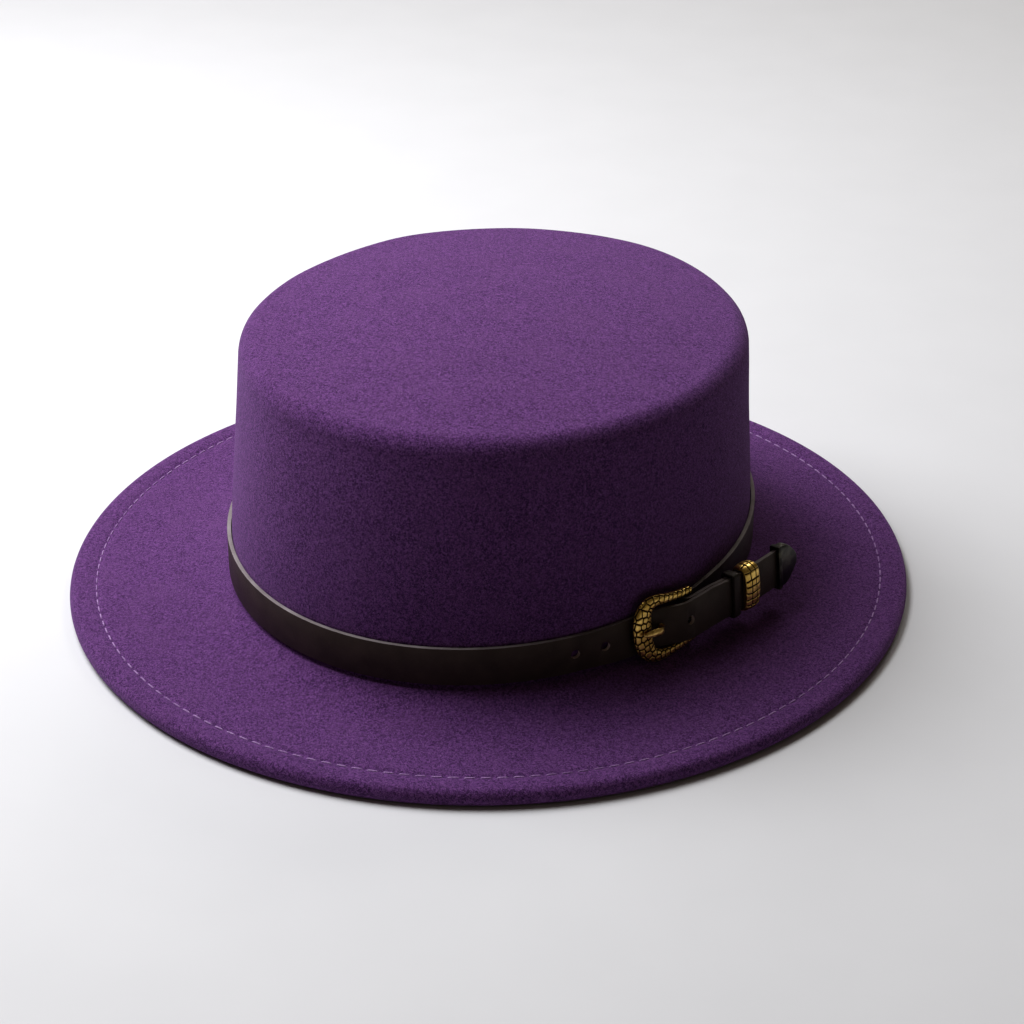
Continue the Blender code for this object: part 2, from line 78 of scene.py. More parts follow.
# Belt
gap = 0.3 * MM
belt_width = 12.7 * MM
belt_thickness = 1.3 * MM
belt_lift = 2.0 * MM
buckle_angle = -22.7
buckle_lean = 8.0
free_end_lean = 5.0
lean_run_in = 16.0 * MM
lean_run_out = 8.0 * MM
chape_run_in = 14.0 * MM
return_length = 27.5 * MM
free_end_length = 42.0 * MM
free_end_standoff = 9.0 * MM
free_end_power = 1.8
rise_end = 3.0 * MM
hole_diameter = 3.0 * MM
hole_pitch = 10.5 * MM
tongue_hole_from_bar = 12.2 * MM
slot_height = 2.6 * MM
belt_half = belt_width / 2
belt_centre_height = break_height + belt_lift + belt_half

# Buckle
frame_length = 23.8 * MM
frame_height = 21.5 * MM
frame_thickness = 2.6 * MM
frame_plane = 4.3 * MM
frame_raise = 1.6 * MM
frame_end_width = 7.2 * MM
arm_width = 2.7 * MM
bar_radius = 0.8 * MM
relief_depth = 0.28 * MM
relief_groove = 0.36 * MM
scale_pitch = 2.15 * MM
tongue_wire = 1.3 * MM
tongue_raise = 1.2 * MM
tongue_spread = 1.9
bar_clear = bar_radius + gap + belt_thickness / 2
return_offset = frame_plane + bar_clear
over_bar_offset = return_offset + belt_thickness + gap
rise_start = frame_length - frame_end_width

# Keepers and tip
bundle_depth = 2 * belt_thickness + gap
leather_keeper_from_bar = 17.4 * MM
leather_keeper_width = 3.2 * MM
leather_keeper_wall = 1.0 * MM
brass_keeper_from_bar = 24.2 * MM
brass_keeper_width = 7.2 * MM
brass_keeper_wall = 1.0 * MM
brass_keeper_bulge = 0.4 * MM
brass_keeper_dome = 0.9 * MM
brass_keeper_round = 2.2 * MM
tip_length = 10.5 * MM
tip_straight = 3.8 * MM
tip_wall = 0.6 * MM
tip_pocket = 4.5 * MM
tip_point_height = 4.0 * MM
tip_collar_width = 1.8 * MM
tip_collar_proud = 0.35 * MM


# Camera, at the photograph's viewing angle

def add_camera():
    azimuth, elevation, roll = math.radians(21.27), math.radians(27.78), math.radians(0.36)
    distance, aside, lift = 897.9 * MM, -6.12 * MM, -17.78 * MM
    back = Vector((
        math.sin(azimuth) * math.cos(elevation),
        -math.cos(azimuth) * math.cos(elevation),
        math.sin(elevation),
    ))
    level = Vector((math.cos(azimuth), math.sin(azimuth), 0))
    upright = back.cross(level)
    right = level * math.cos(roll) + upright * math.sin(roll)
    up = upright * math.cos(roll) - level * math.sin(roll)
    place = back * distance - right * aside - up * lift + Vector((0, brim_lead, 0))
    bpy.ops.object.camera_add(location=place)
    camera = bpy.context.object
    camera.name = "camera"
    camera.matrix_world = Matrix.Translation(place) @ Matrix((right, up, back)).transposed().to_4x4()
    camera.data.sensor_width = 36
    camera.data.lens = 91.87
    camera.data.clip_end = 20
    bpy.context.scene.camera = camera


# Materials, written as expressions

class Wire:
    """A node's output, with arithmetic that adds Math nodes."""

    def __init__(self, finish, socket):
        self.finish = finish
        self.socket = socket

    def sum_of(self, operation, *values):
        return self.finish.node("ShaderNodeMath", {"operation": operation}, dict(enumerate(values)))

    def __add__(self, other):
        return self.sum_of("ADD", self, other)

    def __radd__(self, other):
        return self.sum_of("ADD", other, self)

    def __sub__(self, other):
        return self.sum_of("SUBTRACT", self, other)

    def __rsub__(self, other):
        return self.sum_of("SUBTRACT", other, self)

    def __mul__(self, other):
        return self.sum_of("MULTIPLY", self, other)

    def __rmul__(self, other):
        return self.sum_of("MULTIPLY", other, self)

    def __pow__(self, other):
        return self.sum_of("POWER", self, other)

    def at_least(self, other):
        return self.sum_of("MAXIMUM", self, other)

    def at_most(self, other):
        return self.sum_of("MINIMUM", self, other)


class Finish:
    """One material: its shader, and the nodes that its expressions add."""

    def __init__(self, name, colour, **constants):
        self.material = bpy.data.materials.new(name)
        self.material.use_nodes = True
        self.material.diffuse_color = (*colour, 1)
        self.tree = self.material.node_tree
        self.shader = self.tree.nodes["Principled BSDF"]
        self.shader.inputs["Base Color"].default_value = (*colour, 1)
        for title, value in constants.items():
            self.shader.inputs[title.replace("_", " ")].default_value = value
        self.place = self.node("ShaderNodeTexCoord", {}, {}, "Object")

    def node(self, kind, settings, inputs, output=0):
        made = self.tree.nodes.new(kind)
        for title, value in settings.items():
            if title == "stops":
                self.set_stops(made.color_ramp, value)
            else:
                setattr(made, title, value)
        for title, value in inputs.items():
            if isinstance(value, Wire):
                self.tree.links.new(value.socket, made.inputs[title])
            else:
                made.inputs[title].default_value = value
        return Wire(self, made.outputs[output])

    def set_stops(self, ramp, stops):
        while len(ramp.elements) < len(stops):
            ramp.elements.new(1)
        for element, (position, shade) in zip(ramp.elements, stops):
            element.position = position
            element.color = (*shade, 1)

    def noise(self, scale, detail=2.0, roughness=0.5, distortion=0.0, place=None):
        sockets = {
            "Vector": place or self.place,
            "Scale": scale,
            "Detail": detail,
            "Roughness": roughness,
            "Distortion": distortion,
        }
        return self.node("ShaderNodeTexNoise", {}, sockets)

    def stretched(self, scale, turn=(0, 0, 0)):
        sockets = {"Vector": self.place, "Scale": scale, "Rotation": turn}
        return self.node("ShaderNodeMapping", {}, sockets)

    def smooth_step(self, value, low, high):
        sockets = {"Value": value, "From Min": low, "From Max": high}
        return self.node("ShaderNodeMapRange", {"interpolation_type": "SMOOTHSTEP"}, sockets)

    def blend(self, share, first, second):
        sockets = {0: share, 6: first, 7: second}
        return self.node("ShaderNodeMix", {"data_type": "RGBA"}, sockets, 2)

    def bump(self, height, distance, strength=1.0):
        sockets = {"Height": height, "Distance": distance, "Strength": strength}
        return self.node("ShaderNodeBump", {}, sockets)

    def feed(self, **links):
        for title, wire in links.items():
            self.tree.links.new(wire.socket, self.shader.inputs[title.replace("_", " ")])
        return self.material


def shade(red, green, blue):
    return (red, green, blue, 1)


def wool_felt():
    finish = Finish(
        "purple wool felt", (0.105, 0.039, 0.148),
        Specular_IOR_Level=0.10, Sheen_Weight=0.20, Sheen_Roughness=0.50,
        Sheen_Tint=shade(0.70, 0.42, 0.90))
    mottle = finish.noise(90, 3, 0.55)
    nap = finish.noise(1350, 2, 0.6, 1.0)
    long_nap = finish.noise(760, 3, 0.6, 2.5, finish.stretched((1, 1, 1), (0.5, 0.3, 0.9)))
    hairs = finish.noise(1900, 1, 0.5, 3.0)
    depth = nap * 0.65 + long_nap * 0.35
    body = finish.blend(
        finish.smooth_step(depth, 0.40, 0.60), shade(0.040, 0.013, 0.060), shade(0.152, 0.058, 0.204))
    body = finish.blend(
        finish.smooth_step(mottle, 0.40, 0.70) * 0.25, body, shade(0.122, 0.048, 0.152))
    pale = finish.smooth_step(hairs, 0.56, 0.70) * 0.6
    body = finish.blend(pale, body, shade(0.310, 0.165, 0.360))
    dark = finish.smooth_step(1 - hairs, 0.56, 0.70) * 0.6
    body = finish.blend(dark, body, shade(0.020, 0.008, 0.028))
    roughness = 0.90 + 0.08 * nap
    normal = finish.bump(depth + hairs * 0.35, 0.35 * MM, 0.8)
    return finish.feed(Base_Color=body, Roughness=roughness, Normal=normal)


def stitch_thread():
    finish = Finish("lilac stitching thread", (0.42, 0.25, 0.50), Specular_IOR_Level=0.25)
    twist = finish.noise(2500, 2, 0.5, 0.5)
    worn = finish.noise(35, 2, 0.5)
    tone = finish.blend(finish.smooth_step(twist, 0.35, 0.65), shade(0.25, 0.145, 0.31), shade(0.45, 0.30, 0.52))
    tone = finish.blend(finish.smooth_step(worn, 0.45, 0.65) * 0.5, tone, shade(0.14, 0.06, 0.19))
    return finish.feed(
        Base_Color=tone, Roughness=0.75 + 0.1 * twist, Normal=finish.bump(twist, 0.12 * MM, 0.8))


def strap_leather(name, dark, light, roughness):
    finish = Finish(name, light, Specular_IOR_Level=0.36, Specular_Tint=shade(1.0, 0.86, 0.74))
    grain = finish.noise(1600, 4, 0.6, 0.6)
    pores = finish.node(
        "ShaderNodeTexVoronoi", {"feature": "DISTANCE_TO_EDGE"}, {"Vector": finish.place, "Scale": 1400.0})
    cloud = finish.noise(130, 3, 0.5)
    tone = finish.blend(finish.smooth_step(cloud, 0.15, 0.85), shade(*dark), shade(*light))
    tone = finish.blend(finish.smooth_step(grain, 0.55, 0.75) * 0.3, tone, shade(*(value * 1.6 for value in light)))
    gloss = roughness + 0.14 * grain - 0.06 * cloud
    height = grain * 0.5 + finish.smooth_step(pores, 0.0, 0.12) * 0.5
    return finish.feed(Base_Color=tone, Roughness=gloss, Normal=finish.bump(height, 0.08 * MM, 0.6))


def antique_brass():
    finish = Finish("antique brass", (0.55, 0.40, 0.16), Metallic=1.0)
    raised = finish.node("ShaderNodeAttribute", {"attribute_name": "scale_height"}, {}, "Fac")
    wear = finish.noise(700, 4, 0.6, 0.5)
    stain = finish.noise(260, 3, 0.6)
    tone = finish.blend(finish.smooth_step(stain, 0.35, 0.65), shade(0.60, 0.40, 0.10), shade(0.86, 0.62, 0.20))
    tone = finish.blend(finish.smooth_step(wear, 0.54, 0.74) * 0.35, tone, shade(0.26, 0.16, 0.05))
    top = finish.smooth_step(raised + 0.25 * (wear - 0.5), 0.35, 0.85)
    tone = finish.blend(top, shade(0.030, 0.022, 0.013), tone)
    gloss = 0.60 - 0.36 * top + 0.16 * wear
    return finish.feed(Base_Color=tone, Roughness=gloss, Normal=finish.bump(wear, 0.06 * MM, 0.5))


def polished_brass():
    finish = Finish("rubbed brass", (0.62, 0.46, 0.20), Metallic=1.0)
    wear = finish.noise(700, 4, 0.6, 0.5)
    tone = finish.blend(finish.smooth_step(wear, 0.40, 0.70), shade(0.86, 0.62, 0.22), shade(0.46, 0.30, 0.10))
    return finish.feed(
        Base_Color=tone, Roughness=0.26 + 0.22 * wear, Normal=finish.bump(wear, 0.05 * MM, 0.4))


def black_metal():
    finish = Finish("blackened metal", (0.030, 0.028, 0.022), Metallic=0.85)
    wear = finish.noise(800, 4, 0.6, 0.4)
    rubbed = finish.noise(240, 2, 0.5)
    tone = finish.blend(finish.smooth_step(rubbed, 0.45, 0.7), shade(0.022, 0.020, 0.016), shade(0.085, 0.080, 0.060))
    return finish.feed(
        Base_Color=tone, Roughness=0.30 + 0.22 * wear, Normal=finish.bump(wear, 0.04 * MM, 0.5))


def pale_floor():
    finish = Finish("pale floor", (0.64, 0.645, 0.65), Specular_IOR_Level=0.2)
    grain = finish.noise(30, 3, 0.5)
    tone = finish.blend(grain, shade(0.63, 0.635, 0.64), shade(0.66, 0.665, 0.67))
    return finish.feed(Base_Color=tone, Roughness=0.75 + 0.1 * grain)


# The belt's way round the crown, in distance along the crown's oval from the buckle's bar

sample_angles = np.linspace(-math.pi, 3 * math.pi, 16001)
sample_steps = np.hypot(
    crown_half_x * np.sin(sample_angles),
    crown_half_y * np.cos(sample_angles),
) * (sample_angles[1] - sample_angles[0])
sample_distances = np.cumsum(sample_steps)
bar_distance = float(np.interp(math.radians(buckle_angle), sample_angles, sample_distances))
crown_round = float(np.interp(
    math.radians(buckle_angle) + 2 * math.pi, sample_angles, sample_distances)) - bar_distance


def smooth_share(share):
    """0 to 1 with level ends."""
    share = min(max(share, 0.0), 1.0)
    return share * share * (3 - 2 * share)


def crown_place(distance):
    """Point on the crown at the belt, with the outward and the forward direction there."""
    angle = float(np.interp(distance % crown_round + bar_distance, sample_distances, sample_angles))
    point = Vector((crown_half_x * math.cos(angle), crown_half_y * math.sin(angle) + brim_lead, 0))
    outward = Vector((math.cos(angle) / crown_half_x, math.sin(angle) / crown_half_y, 0))
    outward.normalize()
    return point, outward, Vector((-outward.y, outward.x, 0))


def belt_point(distance, offset, height, lean):
    """Point at an offset from the crown and a height on the belt, leaning out at its foot."""
    point, outward, _ = crown_place(distance)
    tilt = math.radians(lean)
    aside = offset * math.cos(tilt) - height * math.sin(tilt)
    up = belt_centre_height + height * math.cos(tilt) + offset * math.sin(tilt)
    return point + outward * aside + Vector((0, 0, up))


def hug_offset(lean):
    """Middle of a strap that lies against the crown at the given lean."""
    tilt = math.radians(lean)
    return (gap + belt_half * math.sin(tilt)) / math.cos(tilt) + belt_thickness / 2


def outer_lean(distance):
    if distance < 0:
        return buckle_lean * smooth_share((distance + frame_length + lean_run_in) / lean_run_in)
    share = smooth_share((distance - lean_run_out) / lean_run_out)
    return buckle_lean + (free_end_lean - buckle_lean) * share


def outer_offset(distance):
    """Along the crown, up over the bar, then straight off the crown."""
    lying = hug_offset(outer_lean(min(distance, 0)))
    if distance < 0:
        share = smooth_share((distance + rise_start) / (rise_start - rise_end))
        return lying + (over_bar_offset - lying) * share
    return over_bar_offset + free_end_standoff * (distance / free_end_length) ** free_end_power


def placed(distance, offset, height, lean, path=None):
    """Matrix with x outward, y along the belt and z up, all leaning with the belt."""
    origin = belt_point(distance, offset, height, lean)
    _, outward, forward = crown_place(distance)
    if path is not None:
        before = belt_point(distance - MM, path(distance - MM), height, lean)
        after = belt_point(distance + MM, path(distance + MM), height, lean)
        forward = after - before
        forward.z = 0
        forward.normalize()
        outward = Vector((forward.y, -forward.x, 0))
    tilt = math.radians(lean)
    up = Vector((0, 0, 1))
    axis_x = outward * math.cos(tilt) + up * math.sin(tilt)
    axis_z = up * math.cos(tilt) - outward * math.sin(tilt)
    return Matrix.Translation(origin) @ Matrix((axis_x, forward, axis_z)).transposed().to_4x4()


# Modelling by hand

def start_piece(name):
    piece = bpy.context.object
    piece.name = name
    piece.data.name = name
    return piece


def enter_edit(mode="VERT"):
    bpy.ops.object.mode_set(mode="EDIT")
    bpy.ops.mesh.select_mode(type=mode)


def leave_edit():
    bpy.ops.object.mode_set(mode="OBJECT")


def pick_only(piece):
    bpy.ops.object.select_all(action="DESELECT")
    piece.select_set(True)
    bpy.context.view_layer.objects.active = piece


def pick_faces(piece, wanted):
    """Selects, in edit mode, the faces that the test accepts."""
    builder = bmesh.from_edit_mesh(piece.data)
    bpy.ops.mesh.select_mode(type="FACE")
    bpy.ops.mesh.select_all(action="DESELECT")
    for face in builder.faces:
        if wanted(face):
            face.select = True
    builder.select_flush_mode()
    bmesh.update_edit_mesh(piece.data)


def move_selected(piece, targets, here=None):
    """Moves the selected vertices to their targets; each is known by the place where it is now."""
    builder = bmesh.from_edit_mesh(piece.data)
    chosen = sorted((v for v in builder.verts if v.select), key=lambda v: v.index)
    pairs = []
    for order, vertex in enumerate(chosen):
        if here is not None:
            order = min(range(len(here)), key=lambda k: (Vector(here[k]) - vertex.co).length_squared)
        pairs.append((vertex.index, Vector(targets[order])))
    for index, target in pairs:
        builder = bmesh.from_edit_mesh(piece.data)
        builder.verts.ensure_lookup_table()
        for other, _ in pairs:
            builder.verts[other].select = other == index
        builder.select_flush_mode()
        bpy.ops.transform.translate(value=target - builder.verts[index].co)
    builder = bmesh.from_edit_mesh(piece.data)
    builder.verts.ensure_lookup_table()
    for index, _ in pairs:
        builder.verts[index].select = True
    builder.select_flush(True)


def add_sweep(name, rings, closed=True, capped=False):
    """A skin through rings of points: the first is placed, and each next one is extruded from it."""
    bpy.ops.object.select_all(action="DESELECT")
    if closed:
        bpy.ops.mesh.primitive_circle_add(vertices=len(rings[0]), radius=MM)
    else:
        bpy.ops.mesh.primitive_plane_add(size=MM)
    piece = start_piece(name)
    enter_edit()
    if not closed:
        builder = bmesh.from_edit_mesh(piece.data)
        for vertex in builder.verts:
            vertex.select = vertex.co.x > 0
        builder.select_flush_mode()
        bpy.ops.mesh.delete(type="VERT")
    bpy.ops.mesh.select_all(action="SELECT")
    move_selected(piece, rings[0])
    if capped:
        bpy.ops.mesh.edge_face_add()
    for before, ring in zip(rings, rings[1:]):
        bpy.ops.mesh.extrude_region_move()
        move_selected(piece, ring, before)
    bpy.ops.mesh.select_all(action="SELECT")
    bpy.ops.mesh.normals_make_consistent(inside=False)
    leave_edit()
    return piece


def give_modifier(piece, kind, **settings):
    """Adds a modifier and applies it."""
    pick_only(piece)
    modifier = piece.modifiers.new(kind.lower(), kind)
    for title, value in settings.items():
        setattr(modifier, title, value)
    bpy.ops.object.modifier_apply(modifier=modifier.name)


def cut_away(piece, cutter, operation="DIFFERENCE"):
    give_modifier(piece, "BOOLEAN", operation=operation, object=cutter, solver="EXACT")
    bpy.data.objects.remove(cutter, do_unlink=True)


def set_in_place(piece, matrix):
    """Moves a finished piece and keeps its object at the origin."""
    pick_only(piece)
    piece.matrix_world = matrix
    bpy.ops.object.transform_apply(location=True, rotation=True, scale=True)


def smooth_faces(piece, angle):
    pick_only(piece)
    bpy.ops.object.shade_smooth_by_angle(angle=math.radians(angle))


def finish_piece(piece, materials, node=None):
    piece.data.materials.clear()
    for material in materials:
        piece.data.materials.append(material)
    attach(piece, "root")
    if node is not None:
        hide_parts(node)


# Felt body

def hem_lift(inset):
    """How much the brim's top rises or dips near the stitches, at a distance in from its edge."""
    near = (inset - stitch_inset) / channel_half
    dip = channel_depth * math.exp(-near * near * 2)
    puff = 0.0
    if inset < stitch_inset:
        puff = hem_puff * math.sin(math.pi * inset / stitch_inset)
    return puff - dip


def felt_rings():
    """Outer skin from the crown's middle to the hem: half x, half y, height, middle y."""
    top_x = crown_half_x - crown_taper_x
    top_y = crown_half_y - crown_taper_y
    rings = []
    for step in range(1, 20):
        share = step / 20
        rings.append((
            (top_x - shoulder_radius) * share,
            (top_y - shoulder_radius) * share,
            crown_height + crown_dome * (1 - share * share),
            brim_lead,
        ))
    for angle in range(86, 5, -8):
        back = shoulder_radius * (1 - math.cos(math.radians(angle)))
        rise = shoulder_radius * (math.sin(math.radians(angle)) - 1)
        rings.append((top_x - back, top_y - back, crown_height + rise, brim_lead))
    belt_top = break_height + belt_lift + belt_width
    wall_top = crown_height - shoulder_radius
    for step in range(14):
        share = 1 - step / 14
        taper = share ** 1.2
        rings.append((
            crown_half_x - crown_taper_x * taper,
            crown_half_y - crown_taper_y * taper,
            belt_top + (wall_top - belt_top) * share,
            brim_lead,
        ))
    for step in range(3):
        height = belt_top - (belt_top - break_height - brim_break_radius) * step / 3
        rings.append((crown_half_x, crown_half_y, height, brim_lead))
    for angle in range(0, 70, 17):
        out = brim_break_radius * (1 - math.cos(math.radians(angle)))
        down = brim_break_radius * (1 - math.sin(math.radians(angle)))
        rings.append((crown_half_x + out, crown_half_y + out, break_height + down, brim_lead))
    slope_x = brim_width_x - brim_break_radius - hem_width
    slope_y = brim_width_y - brim_break_radius - hem_width
    for step in range(1, 17):
        share = (step / 16) ** 1.4
        inset = hem_width + slope_x * (1 - share)
        rings.append((
            crown_half_x + brim_break_radius + slope_x * share,
            crown_half_y + brim_break_radius + slope_y * share,
            hem_height + brim_rise * (1 - share) ** brim_hollow_power + hem_lift(inset),
            brim_lead * (1 - share),
        ))
    roll = hem_height / 2
    edge_x = crown_half_x + brim_width_x
    edge_y = crown_half_y + brim_width_y
    inset = hem_width - 0.6 * MM
    while inset > roll + 0.2 * MM:
        rings.append((edge_x - inset, edge_y - inset, hem_height + hem_lift(inset), 0.0))
        inset -= 0.6 * MM
    for angle in range(90, -91, -12):
        back = roll * (1 - math.cos(math.radians(angle)))
        rise = roll * (1 + math.sin(math.radians(angle)))
        fade = hem_lift(roll) * max(math.sin(math.radians(angle)), 0)
        rings.append((edge_x - back, edge_y - back, rise + fade, 0.0))
    for step in range(1, 9):
        inset = roll + (hem_width - roll) * step / 8
        rings.append((edge_x - inset, edge_y - inset, 0.0, 0.0))
    return rings


def unevenness_at(place):
    """How freely the felt may dip or swell: not at all by the belt, the hem and its stitches."""
    out_of_crown = math.hypot(place.x / crown_half_x, (place.y - brim_lead) / crown_half_y)
    if out_of_crown < 1.02:
        return smooth_share((place.z - break_height - belt_lift - belt_width - 4 * MM) / (26 * MM))
    in_from_edge = 1 - math.hypot(
        place.x / (crown_half_x + brim_width_x), place.y / (crown_half_y + brim_width_y))
    inner, outer = (out_of_crown - 1.08) / 0.16, (in_from_edge - 0.095) / 0.07
    return uneven_brim_share * smooth_share(inner) * smooth_share(outer)


def soften_felt(felt):
    """Gives the skin shallow dents and swells before it gets its wall."""
    group = felt.vertex_groups.new(name="uneven")
    for vertex in felt.data.vertices:
        group.add([vertex.index], unevenness_at(vertex.co), "REPLACE")
    dents = bpy.data.textures.new("felt_dents", "CLOUDS")
    dents.noise_scale = uneven_spread
    dents.noise_depth = 1
    give_modifier(
        felt, "DISPLACE", texture=dents, texture_coords="LOCAL", strength=uneven_depth, mid_level=0.5,
        vertex_group="uneven")
    felt.vertex_groups.clear()


def build_felt():
    rings = felt_rings()
    sides = 240
    half_x, half_y, height, middle_y = rings[0]
    bpy.ops.object.select_all(action="DESELECT")
    bpy.ops.mesh.primitive_circle_add(vertices=sides, radius=1, fill_type="TRIFAN")
    felt = start_piece("felt_hat")
    enter_edit()
    bpy.ops.mesh.select_all(action="SELECT")
    bpy.ops.transform.resize(value=(half_x, half_y, 1), center_override=(0, 0, 0))
    bpy.ops.transform.translate(value=(0, middle_y, height))
    bpy.ops.mesh.select_mode(type="FACE")
    bpy.ops.mesh.region_to_loop()
    for next_x, next_y, next_height, next_middle in rings[1:]:
        bpy.ops.mesh.extrude_edges_move()
        bpy.ops.transform.resize(
            value=(next_x / half_x, next_y / half_y, 1), center_override=(0, middle_y, height))
        bpy.ops.transform.translate(value=(0, next_middle - middle_y, next_height - height))
        half_x, half_y, height, middle_y = next_x, next_y, next_height, next_middle
    bpy.ops.mesh.select_all(action="SELECT")
    bpy.ops.mesh.normals_make_consistent(inside=False)
    leave_edit()
    soften_felt(felt)
    give_modifier(
        felt, "SOLIDIFY", thickness=felt_wall, offset=-1, use_even_offset=True, use_quality_normals=True)
    smooth_faces(felt, 50)
    finish_piece(felt, [wool_felt()], "felt_body")
    return felt


def build_stitches():
    """One stitch with its ends dipping into the felt, copied along the hem."""
    bpy.ops.object.select_all(action="DESELECT")
    bpy.ops.mesh.primitive_cylinder_add(vertices=8, radius=stitch_width / 2, depth=stitch_length * 0.5)
    stitch = start_piece("stitch")
    enter_edit("FACE")
    for end in (-1, 1):
        pick_faces(stitch, lambda face: face.normal.z * end > 0.9)
        for run, drop, thin in ((0.14, 0.10, 0.9), (0.11, 0.42, 0.7)):
            bpy.ops.mesh.extrude_region_move(
                TRANSFORM_OT_translate={"value": (-drop * stitch_width, 0, end * run * stitch_length)})
            bpy.ops.transform.resize(value=(thin, thin, 1))
    leave_edit()
    set_in_place(stitch, Matrix(((0, 0, 1, 0), (0, 1, 0, 0), (1, 0, 0, 0), (0, 0, 0, 1))))
    half_x = crown_half_x + brim_width_x - stitch_inset
    half_y = crown_half_y + brim_width_y - stitch_inset
    angles = np.linspace(0, 2 * math.pi, 7201)
    points = np.stack([half_x * np.cos(angles), half_y * np.sin(angles)], axis=1)
    lengths = np.concatenate([[0], np.cumsum(np.hypot(*np.diff(points, axis=0).T))])
    count = round(lengths[-1] / stitch_pitch)
    height = hem_height - channel_depth + stitch_width * 0.22
    copies = []
    for number in range(count):
        angle = float(np.interp(lengths[-1] * number / count, lengths, angles))
        heading = math.atan2(half_y * math.cos(angle), -half_x * math.sin(angle))
        pick_only(stitch)
        bpy.ops.object.duplicate()
        copied = bpy.context.object
        jitter = 0.02 * math.sin(number * 12.9)
        copied.matrix_world = Matrix.Translation((
            half_x * math.cos(angle), half_y * math.sin(angle), height,
        )) @ Matrix.Rotation(heading + jitter, 4, "Z")
        copies.append(copied)
    bpy.data.objects.remove(stitch, do_unlink=True)
    bpy.ops.object.select_all(action="DESELECT")
    for copied in copies:
        copied.select_set(True)
    bpy.context.view_layer.objects.active = copies[0]
    bpy.ops.object.join()
    row = start_piece("hem_stitches")
    bpy.ops.object.transform_apply(location=True, rotation=True, scale=True)
    smooth_faces(row, 60)
    finish_piece(row, [stitch_thread()])
    return row


# Belt strap

def belt_route():
    """Stations of the one strap, from the end of its return round to its free tip."""
    route = []
    for distance in np.arange(return_length, 0, -2 * MM):
        route.append((distance, outer_offset(distance) - belt_thickness - gap, outer_lean(distance)))
    for angle in range(90, 271, 15):
        turn = math.radians(angle)
        route.append((
            bar_clear * math.cos(turn), frame_plane + bar_clear * math.sin(turn), buckle_lean))
    inner = frame_plane - bar_clear
    for step in range(1, 9):
        share = step / 8
        lean = buckle_lean * (1 - smooth_share(share))
        offset = hug_offset(lean) + (inner - hug_offset(buckle_lean)) * (1 - smooth_share(share))
        route.append((chape_run_in * share, offset, lean))
    stop = crown_round - frame_length - lean_run_in
    count = round((stop - chape_run_in) / (4 * MM))
    for step in range(1, count + 1):
        route.append((chape_run_in + (stop - chape_run_in) * step / count, hug_offset(0), 0.0))
    start, stop = stop, crown_round + free_end_length
    count = round((stop - start) / (1.6 * MM))
    for step in range(1, count + 1):
        distance = start + (stop - start) * step / count
        near = distance - crown_round
        route.append((distance, outer_offset(near), outer_lean(near)))
    return route


def hole_distances():
    """Where the punched holes are: three before the tongue's own hole and one after it."""
    distances = np.linspace(-tongue_hole_from_bar - 4 * hole_pitch, free_end_length, 800)
    points = [belt_point(d, outer_offset(d), 0, outer_lean(d)) for d in distances]
    lengths = [0.0]
    for before, after in zip(points, points[1:]):
        lengths.append(lengths[-1] + (after - before).length)
    own = float(np.interp(-tongue_hole_from_bar, distances, lengths))
    return [float(np.interp(own + number * hole_pitch, lengths, distances)) for number in range(-3, 2)]


def add_block(name, size_x, size_y, size_z, matrix):
    bpy.ops.object.select_all(action="DESELECT")
    bpy.ops.mesh.primitive_cube_add(size=1)
    block = start_piece(name)
    enter_edit()
    bpy.ops.mesh.select_all(action="SELECT")
    bpy.ops.transform.resize(value=(size_x, size_y, size_z), center_override=(0, 0, 0))
    leave_edit()
    set_in_place(block, matrix)
    return block


def build_belt():
    rows = []
    for distance, offset, lean in belt_route():
        rows.append((
            belt_point(distance, offset, -belt_half, lean), belt_point(distance, offset, belt_half, lean)))
    belt = add_sweep("leather_belt", rows, closed=False)
    give_modifier(belt, "SOLIDIFY", thickness=belt_thickness, offset=0, use_even_offset=True)
    for distance in hole_distances():
        bpy.ops.object.select_all(action="DESELECT")
        bpy.ops.mesh.primitive_cylinder_add(
            vertices=28, radius=hole_diameter / 2, depth=belt_thickness * 2, rotation=(0, math.pi / 2, 0))
        punch = start_piece("punch")
        bpy.ops.object.transform_apply(location=True, rotation=True, scale=True)
        set_in_place(punch, placed(
            distance, outer_offset(distance), 0, outer_lean(distance), path=outer_offset))
        cut_away(belt, punch)
    reach = bar_clear + belt_thickness / 2 + gap / 2
    slot = add_block(
        "slot", 2 * reach, 2 * reach + gap, slot_height, placed(0, frame_plane, 0, buckle_lean))
    cut_away(belt, slot)
    give_modifier(belt, "BEVEL", width=0.22 * MM, segments=3, limit_method="ANGLE",
                  angle_limit=math.radians(50), use_clamp_overlap=True)
    pick_only(belt)
    enter_edit()
    bpy.ops.mesh.select_all(action="SELECT")
    bpy.ops.mesh.dissolve_degenerate(threshold=0.001 * MM)
    leave_edit()
    smooth_faces(belt, 40)
    materials = [
        strap_leather("dark brown leather", (0.025, 0.017, 0.013), (0.050, 0.035, 0.028), 0.44),
        # the pale grey colour of the cut edges is partly the leather's own edge and partly a painted highlight
        strap_leather("pale leather edge with painted highlight", (0.150, 0.130, 0.130), (0.270, 0.245, 0.250), 0.48),
        # the very pale walls of the punched holes are partly raw leather and partly a painted highlight that gives each
        # hole a bright rim
        strap_leather("raw leather with painted highlight in the holes", (0.420, 0.330, 0.300), (0.620, 0.520, 0.480), 0.55),
    ]
    finish_piece(belt, materials, "belt_strap")
    holes = [belt_point(d, outer_offset(d), 0, outer_lean(d)) for d in hole_distances()]
    for face in belt.data.polygons:
        from_hole = min((face.center - hole).length for hole in holes)
        # walls of the punched holes get the pale raw-leather colour, which is partly a painted highlight
        if from_hole < hole_diameter * 0.56 and abs(face.normal.dot(outward_at(face.center))) < 0.9:
            face.material_index = 2
        # faces that look up or down are the cut edges; their pale colour is partly a painted highlight
        elif abs(face.normal.z) > 0.6:
            face.material_index = 1
    return belt


# Buckle frame

